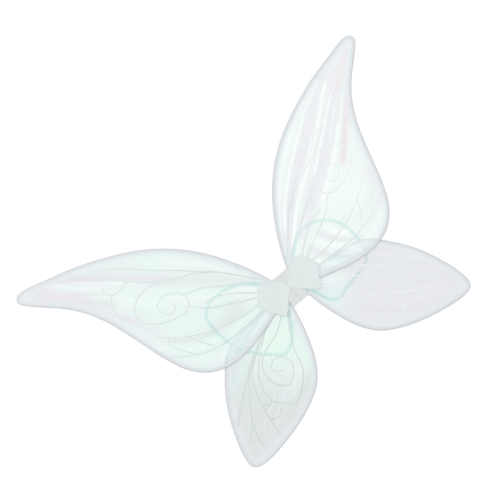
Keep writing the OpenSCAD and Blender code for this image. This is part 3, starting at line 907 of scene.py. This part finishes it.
def strap_piece(half):
    """A ribbed elastic from its upper sewn end round the arm to its lower sewn end."""
    side = half.side
    hinge = JOINTS["swing_loop_" + half.name]["pos_m"]
    hinge_x = abs(hinge[0]) / MM
    ends = [(side * SEWN_X, SEWN_X), (side * hinge_x, STRAP_Z)]
    route = ends + LOOPS[half.name] + [(x, -z) for x, z in reversed(ends)]
    line = curve_through(np.array(route, float) * MM, LOOP_PITCH * MM)
    run = np.arange(len(line)) * LOOP_PITCH
    total = run[-1]
    turn = 0.16 * waves(run, side + 90, 4, 0.01, 0.05)
    turn = (turn * smoothstep(40, 90, run) * smoothstep(40, 90, total - run))[:, None]
    across, thick = rounded_band().T * MM
    in_plane = across * np.cos(turn) - thick * np.sin(turn)
    x, z = np.moveaxis(line[:, None] + curve_normals(line)[:, None] * in_plane[..., None], -1, 0)
    y = hinge[1] + across * np.sin(turn) + thick * np.cos(turn)
    faces = sweep_faces(len(line), len(across))
    co = np.stack([x, y, z], -1).reshape(-1, 3)
    piece = solid_piece("arm_loop_" + half.name, co, faces, "elastic", (run[:, None], across / MM, 0 * x))
    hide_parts("strap_" + half.name, "strap_ends_" + half.name)
    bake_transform(piece)
    path = [(px, hinge[1], pz) for px, pz in line]
    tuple(path[0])


def rounded_band():
    """Cross-section of the elastic with five ribs on each face, in millimetres."""
    top = []
    for t in np.linspace(-1, 1, 21):
        rib = RIB * (0.5 + 0.5 * math.cos(t * 5 * math.pi))
        edge = 1 - max(0, (abs(t) - 0.88) / 0.12) ** 2 * 0.75
        top.append((t * STRAP_W / 2, (STRAP_T / 2 - RIB + rib) * edge))
    return np.array(top + [(x, -y) for x, y in reversed(top)])


def bar_tack_piece():
    """Four blocks of satin stitches across the ends of the elastics."""
    starts, ends = [], []
    for x in (-1, 1):
        for z in (-1, 1):
            turn = math.radians(x * z * TACK_TURN)
            along = np.array([math.sin(turn), 0, math.cos(turn)])
            across = np.array([math.cos(turn), 0, -math.sin(turn)]) * 2.1 * MM
            for i in range(TACK_STITCHES):
                place = np.array([x, 0, z]) * TACK_X + along * (i - (TACK_STITCHES - 1) / 2) * 0.42 * MM
                flip = 1 if i % 2 else -1
                starts.append(place - across * flip)
                ends.append(place + across * flip + along * 0.3 * MM)
    starts, ends = np.array(starts), np.array(ends)
    starts[:, 1] = ends[:, 1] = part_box("bar_tacks")[1].y - 0.10 * MM
    ups = np.tile([0.0, -1.0, 0.0], (len(starts), 1))
    thread_piece("bar_tack_stitches", "pad", [(starts, ends, ups)], radius=0.22 * MM, nodes=["bar_tacks"])


def root_binding(half):
    """Cloth tape wound in overlapping turns round the front and the rear wire."""
    node = "root_tape_" + half.name
    x, z, depth = half.flat(vertices(NODES[node]))
    radius, reach = np.ptp(x) / 2, np.ptp(depth) / 2
    sides, stations = 36, 25
    share = np.linspace(0, 1, stations)[:, None]
    lap = radius * (0.94 + 0.08 * (share * 3 % 1))
    c, s = np.cos(turn_angles(sides)), np.sin(turn_angles(sides))
    across = (x.min() + x.max()) / 2 + lap * c
    out = (depth.min() + depth.max()) / 2 + lap * s + np.copysign(reach - radius, s)
    up = np.linspace(z.min(), z.max(), stations)[:, None]
    across, up, out = (part.ravel() for part in np.broadcast_arrays(across, up, out))
    piece = solid_piece("wound_" + node, half.world(across, up, out), sweep_faces(stations, sides), "binding",
                        (up / MM, out / MM, across / MM))
    place_piece(piece, half.body, "pad_cover", node)


# ---------------------------------------------------------------- materials

class Graph:
    """One material, and short names for the nodes that it uses."""

    def __init__(self, name, colour, roughness, **inputs):
        self.material = bpy.data.materials.new(name)
        self.material.use_nodes = True
        self.tree = self.material.node_tree
        self.shader = self.tree.nodes["Principled BSDF"].inputs
        self.shader["Base Color"].default_value = (*colour, 1)
        self.shader["Roughness"].default_value = roughness
        for key, value in inputs.items():
            self.shader[key.replace("_", " ")].default_value = value

    def node(self, kind, **inputs):
        node = self.tree.nodes.new("ShaderNode" + kind)
        for key, value in inputs.items():
            self.set(node.inputs[key], value)
        return node

    def set(self, socket, value):
        if isinstance(value, bpy.types.NodeSocket):
            self.tree.links.new(value, socket)
        else:
            socket.default_value = value

    def field(self, name):
        """A vertex field, and its three parts."""
        node = self.node("Attribute")
        node.attribute_name = name
        parts = self.node("SeparateXYZ", Vector=node.outputs["Vector"])
        return node.outputs["Vector"], parts.outputs

    def place(self):
        return self.node("TexCoord").outputs["Object"]

    def math(self, operation, a, b=0.0, clamp=False):
        node = self.node("Math")
        node.operation, node.use_clamp = operation, clamp
        self.set(node.inputs[0], a)
        self.set(node.inputs[1], b)
        return node.outputs[0]

    def plus(self, a, b, clamp=False):
        return self.math("ADD", a, b, clamp)

    def times(self, a, b, clamp=False):
        return self.math("MULTIPLY", a, b, clamp)

    def ripple(self, distance, pitch, kind="SINE"):
        return self.math(kind, self.times(distance, 2 * math.pi / pitch))

    def mix(self, factor, a, b):
        """Mixes two colours."""
        node = self.node("Mix")
        node.data_type = "RGBA"
        self.set(node.inputs["Factor"], factor)
        for socket, value in ((node.inputs[6], a), (node.inputs[7], b)):
            self.set(socket, value if isinstance(value, bpy.types.NodeSocket) else (*value, 1))
        return node.outputs[2]

    def stain(self, colour, shade, pattern, low, high, strength):
        """The colour with a shade where the pattern goes from low to high."""
        return self.mix(self.times(self.ramp(pattern, low, high), strength), colour, shade)

    def scaled(self, vector, scale):
        node = self.node("VectorMath")
        node.operation = "MULTIPLY"
        self.set(node.inputs[0], vector)
        self.set(node.inputs[1], scale)
        return node.outputs[0]

    def noise(self, vector, scales=None, scale=1.0, detail=2.0, roughness=0.5):
        """Soft noise, with a scale of its own along each axis where scales are given."""
        vector = self.scaled(vector, scales) if scales else vector
        node = self.node("TexNoise", Vector=vector, Scale=scale, Detail=detail, Roughness=roughness)
        return node.outputs["Fac"]

    def ramp(self, value, low, high):
        """0 at low and 1 at high."""
        node = self.node("MapRange", Value=value)
        for i, number in enumerate((low, high, 0.0, 1.0), 1):
            node.inputs[i].default_value = number
        return node.outputs[0]

    def finish(self, colour, roughness, height, strength, depth):
        """The material, with its colour, a roughness that varies, and bumps of that depth in millimetres."""
        bump = self.node("Bump", Height=height, Strength=strength, Distance=depth * MM)
        sockets = {"Base Color": colour, "Roughness": roughness, "Normal": bump.outputs["Normal"]}
        for key, value in sockets.items():
            if value is not None:
                self.set(self.shader[key], value)
        return self.material


def film_material():
    """Thin iridescent film: mint, with the lobe's tints and streaks along its pleats, and painted shade and
    painted highlights along the pleats.
    """
    g = Graph("iridescent_film", MINT, 0.22, Alpha=FILM_ALPHA, IOR=1.45, Coat_Weight=0.25,
              Coat_Roughness=0.08)
    place, (_, _, edge) = g.field("film")
    _, (lilac, white, pink) = g.field("tint_a")
    _, (grey, green, aqua) = g.field("tint_b")
    streaks = g.noise(place, (34.0, 2.2, 0.0), detail=3.0, roughness=0.6)
    fine = g.noise(place, (150.0, 6.0, 0.0))
    drift = g.noise(place, (7.0, 3.0, 0.0), detail=1.0)
    vary = g.plus(0.72, g.times(streaks, 0.56))
    colour = g.mix(g.ramp(drift, 0.35, 0.75), MINT, MINT_COOL)
    for weight, tint in ((green, "green"), (grey, "grey"), (aqua, "aqua"), (lilac, "lilac"), (pink, "pink")):
        colour = g.mix(g.times(weight, vary, clamp=True), colour, TINTS[tint])
    # Painted shade: darker grey streaks where the pleats turn away from the light
    colour = g.stain(colour, TINTS["grey"], streaks, 0.48, 0.26, 0.30)
    # Painted highlights: glints along the pleats and on fine creases, added to the painted white sheen
    glint = g.times(g.ramp(streaks, 0.56, 0.74), 0.45)
    thread = g.times(g.ramp(fine, 0.55, 0.8), 0.25)
    colour = g.mix(g.plus(white, g.plus(glint, thread), clamp=True), colour, TINTS["white"])
    colour = g.mix(g.times(g.math("SUBTRACT", 1.0, g.ramp(edge, 5.0, 17.0)), 0.75), colour, EDGE_BLUE)
    crease = g.plus(g.times(streaks, 0.7), g.times(fine, 0.3))
    return g.finish(colour, g.plus(0.14, g.times(fine, 0.22)), crease, 0.5, 1.2)


def hem_material():
    """Sheer tape: a fine diagonal weave, darker towards its outer edge where it turns over the wire: partly
    the wire under the sheer tape, partly painted shade of the rounded edge.
    """
    g = Graph("edge_tape", HEM, 0.5, Sheen_Weight=0.2)
    place, (_, inward, _) = g.field("cloth")
    weave = g.node("TexWave", Vector=g.scaled(place, (1.0, 1.0, 0.0)), Scale=1.6, Distortion=0.6)
    weave.bands_direction = "DIAGONAL"
    colour = g.mix(g.ramp(g.noise(place, (0.09, 0.3, 0.0), detail=3.0), 0.3, 0.7), HEM, HEM_LILAC)
    # Darker towards the outer edge: partly the wire under the sheer tape, partly painted shade of the rounded
    # edge
    turned = g.math("POWER", g.math("SUBTRACT", 1.0, g.ramp(inward, 0.0, 5.5)), 1.6)
    colour = g.mix(turned, colour, HEM_EDGE_SHADE)
    colour = g.mix(g.times(weave.outputs["Fac"], 0.10), colour, HEM_EDGE_SHADE)
    return g.finish(colour, 0.45, weave.outputs["Fac"], 0.35, 0.12)


def knit_material(name, colour, shade):
    """Fine knitted lace: columns of small loops, with broader ribs."""
    g = Graph(name, colour, 0.85, Sheen_Weight=0.3)
    place, (across, up, _) = g.field("cloth")
    wales = g.ripple(across, 0.9)
    courses = g.math("SINE", g.plus(g.times(up, 2 * math.pi / 0.75), g.times(wales, 0.9)))
    loops = g.times(g.plus(wales, 1.0), g.plus(courses, 1.0))
    ribs = g.ripple(across, 4.2)
    colour = g.stain(colour, shade, ribs, -0.2, 1.0, 0.35)
    colour = g.stain(colour, shade, loops, 0.55, 0.1, 0.45)
    colour = g.stain(colour, shade, g.noise(place, scale=0.22, detail=3.0), 0.45, 0.75, 0.35)
    return g.finish(colour, None, g.plus(g.times(loops, 0.25), g.times(ribs, 0.25)), 0.8, 0.25)


def elastic_material():
    """Woven elastic: ribs along it and fine cross threads, with painted shade in the grooves between the ribs
    and darker tone at random.
    """
    g = Graph("elastic", ELASTIC, 0.7, Sheen_Weight=0.3)
    place, (run, across, _) = g.field("cloth")
    cross = g.ripple(run, 0.9)
    ribs = g.ripple(across, 1.2, "COSINE")
    # Painted shade in the grooves between the ribs
    colour = g.stain(ELASTIC, ELASTIC_SHADE_AND_TONE, ribs, 0.2, -1.0, 0.45)
    colour = g.stain(colour, ELASTIC_SHADE_AND_TONE, g.noise(place, (0.06, 0.3, 0.0), detail=3.0), 0.4, 0.8, 0.35)
    return g.finish(colour, None, g.plus(g.times(cross, 0.4), ribs), 0.6, 0.12)


def glitter_material():
    """Glitter glue: small flakes with painted highlights in a grey line, painted lighter where the lines
    catch the light.
    """
    g = Graph("glitter", VEIN, 0.4, Metallic=0.15)
    flakes = g.node("TexVoronoi", Vector=g.field("cloth")[0], Scale=3.2)
    pick = g.node("SeparateColor", Color=flakes.outputs["Color"])
    # Painted highlights: the flakes that glint
    flake_highlight = g.ramp(pick.outputs[0], 0.72, 0.95)
    _, (catch, dull, _) = g.field("catch")
    colour = g.mix(dull, g.mix(pick.outputs[1], VEIN, VEIN_DARK), VEIN_DEEP)
    colour = g.mix(flake_highlight, g.mix(catch, colour, VEIN_CAUGHT), VEIN_FLAKE_HIGHLIGHT)
    roughness = g.math("SUBTRACT", 0.5, g.times(flake_highlight, 0.35))
    return g.finish(colour, roughness, flakes.outputs["Distance"], 0.5, 0.15)


def metal_material(name, colour, roughness):
    """Drawn metal with fine lengthwise scratches."""
    g = Graph(name, colour, roughness, Metallic=1.0)
    scratch = g.noise(g.place(), (900.0, 900.0, 160.0), detail=4.0, roughness=0.7)
    dark = tuple(c * 0.75 for c in colour)
    varied = g.plus(roughness - 0.08, g.times(scratch, 0.2))
    return g.finish(g.mix(scratch, colour, dark), varied, scratch, 0.25, 0.05)


def cloth_material(name, colour, shade, pitch):
    """Plain close-woven or brushed cloth."""
    g = Graph(name, colour, 0.9, Sheen_Weight=0.35)
    place, (across, up, _) = g.field("cloth")
    nap = g.noise(place, scale=1.4, detail=5.0, roughness=0.65)
    weave = g.times(g.ripple(across, pitch), g.ripple(up, pitch))
    colour = g.stain(colour, shade, nap, 0.35, 0.75, 0.6)
    colour = g.stain(colour, shade, weave, 0.0, 1.0, 0.25)
    return g.finish(colour, None, g.plus(weave, nap), 0.5, 0.12)


def foam_material():
    """Open foam with small round cells, with painted shade in their pores."""
    g = Graph("foam", FOAM, 0.95)
    cells = g.node("TexVoronoi", Vector=g.field("cloth")[0], Scale=1.6).outputs["Distance"]
    return g.finish(g.mix(cells, FOAM_PORE_SHADE, FOAM_WALL), None, cells, 0.6, 0.3)


def thread_material(name, colour, shade):
    """Two-ply sewing thread."""
    g = Graph(name, colour, 0.6, Sheen_Weight=0.3)
    twist = g.noise(g.place(), (2500.0, 2500.0, 2500.0))
    return g.finish(g.mix(twist, colour, shade), None, twist, 0.4, 0.05)


# ---------------------------------------------------------------- stage

def softened_floor(height, radius):
    """A round pale floor that fades out at its rim."""
    g = Graph("floor", FLOOR, 0.9)
    far = g.node("VectorMath")
    far.operation = "LENGTH"
    g.set(far.inputs[0], g.place())
    g.set(g.shader["Alpha"], g.math("SUBTRACT", 1.0, g.ramp(far.outputs["Value"], radius * 0.55, radius)))
    rim = [(radius * math.cos(a), radius * math.sin(a), 0) for a in turn_angles(96)]
    floor = make_object("floor", rim, [tuple(range(len(rim)))], g.material, smooth=False)
    floor.location = (0, 0, height)


# ---------------------------------------------------------------- the whole object

make_camera()
make_world(seen=1.0, lit=0.78)
area_light("key", (-1.5, -2.0, 1.5), size=1.0, power=18)
area_light("fill", (1.8, -1.8, 0.2), size=1.4, power=6)
area_light("back", (0.6, 2.2, 1.0), size=1.4, power=12)

MATERIALS = {
    "film": film_material(),
    "hem": hem_material(),
    "glitter": glitter_material(),
    "thread": thread_material("thread", THREAD, THREAD_SHADE),
    "seam": thread_material("seam_thread", SEAM, SEAM_SHADE),
    "lace": knit_material("lace_knit", LACE, LACE_SHADE),
    "band": knit_material("band_knit", BAND, BAND_SHADE),
    "elastic": elastic_material(),
    "foam": foam_material(),
    "pad": cloth_material("pad_cloth", PAD, PAD_SHADE, pitch=0.6),
    "binding": cloth_material("binding_cloth", BINDING, BINDING_SHADE, pitch=0.5),
    "steel": metal_material("wire_steel", STEEL, roughness=0.32),
    "ferrule": metal_material("ferrule_metal", FERRULE, roughness=0.28),
}
HALVES = [Half(name) for name in SIDES]
LOBES = {(pair, half.name): Lobe(pair, half) for pair in STREAMS for half in HALVES}

for lobe in LOBES.values():
    vein_piece(lobe, film_pieces(lobe))
    hem_piece(lobe)
pad_pieces()
spine_piece()
bar_tack_piece()
for half in HALVES:
    root_binding(half)
    lace_patch(half, "front")
    lace_patch(half, "rear")
    lace_band(half)
    strap_piece(half)

for name, node in NODES.items():
    for kind, material in (("wire", "steel"), ("ferrule", "ferrule")):
        if kind in name:
            node.data.materials.clear()
            node.data.materials.append(MATERIALS[material])

softened_floor(height=cad_box[0][2] - FLOOR_DROP, radius=1.5)
bpy.context.scene.view_settings.view_transform = "Standard"
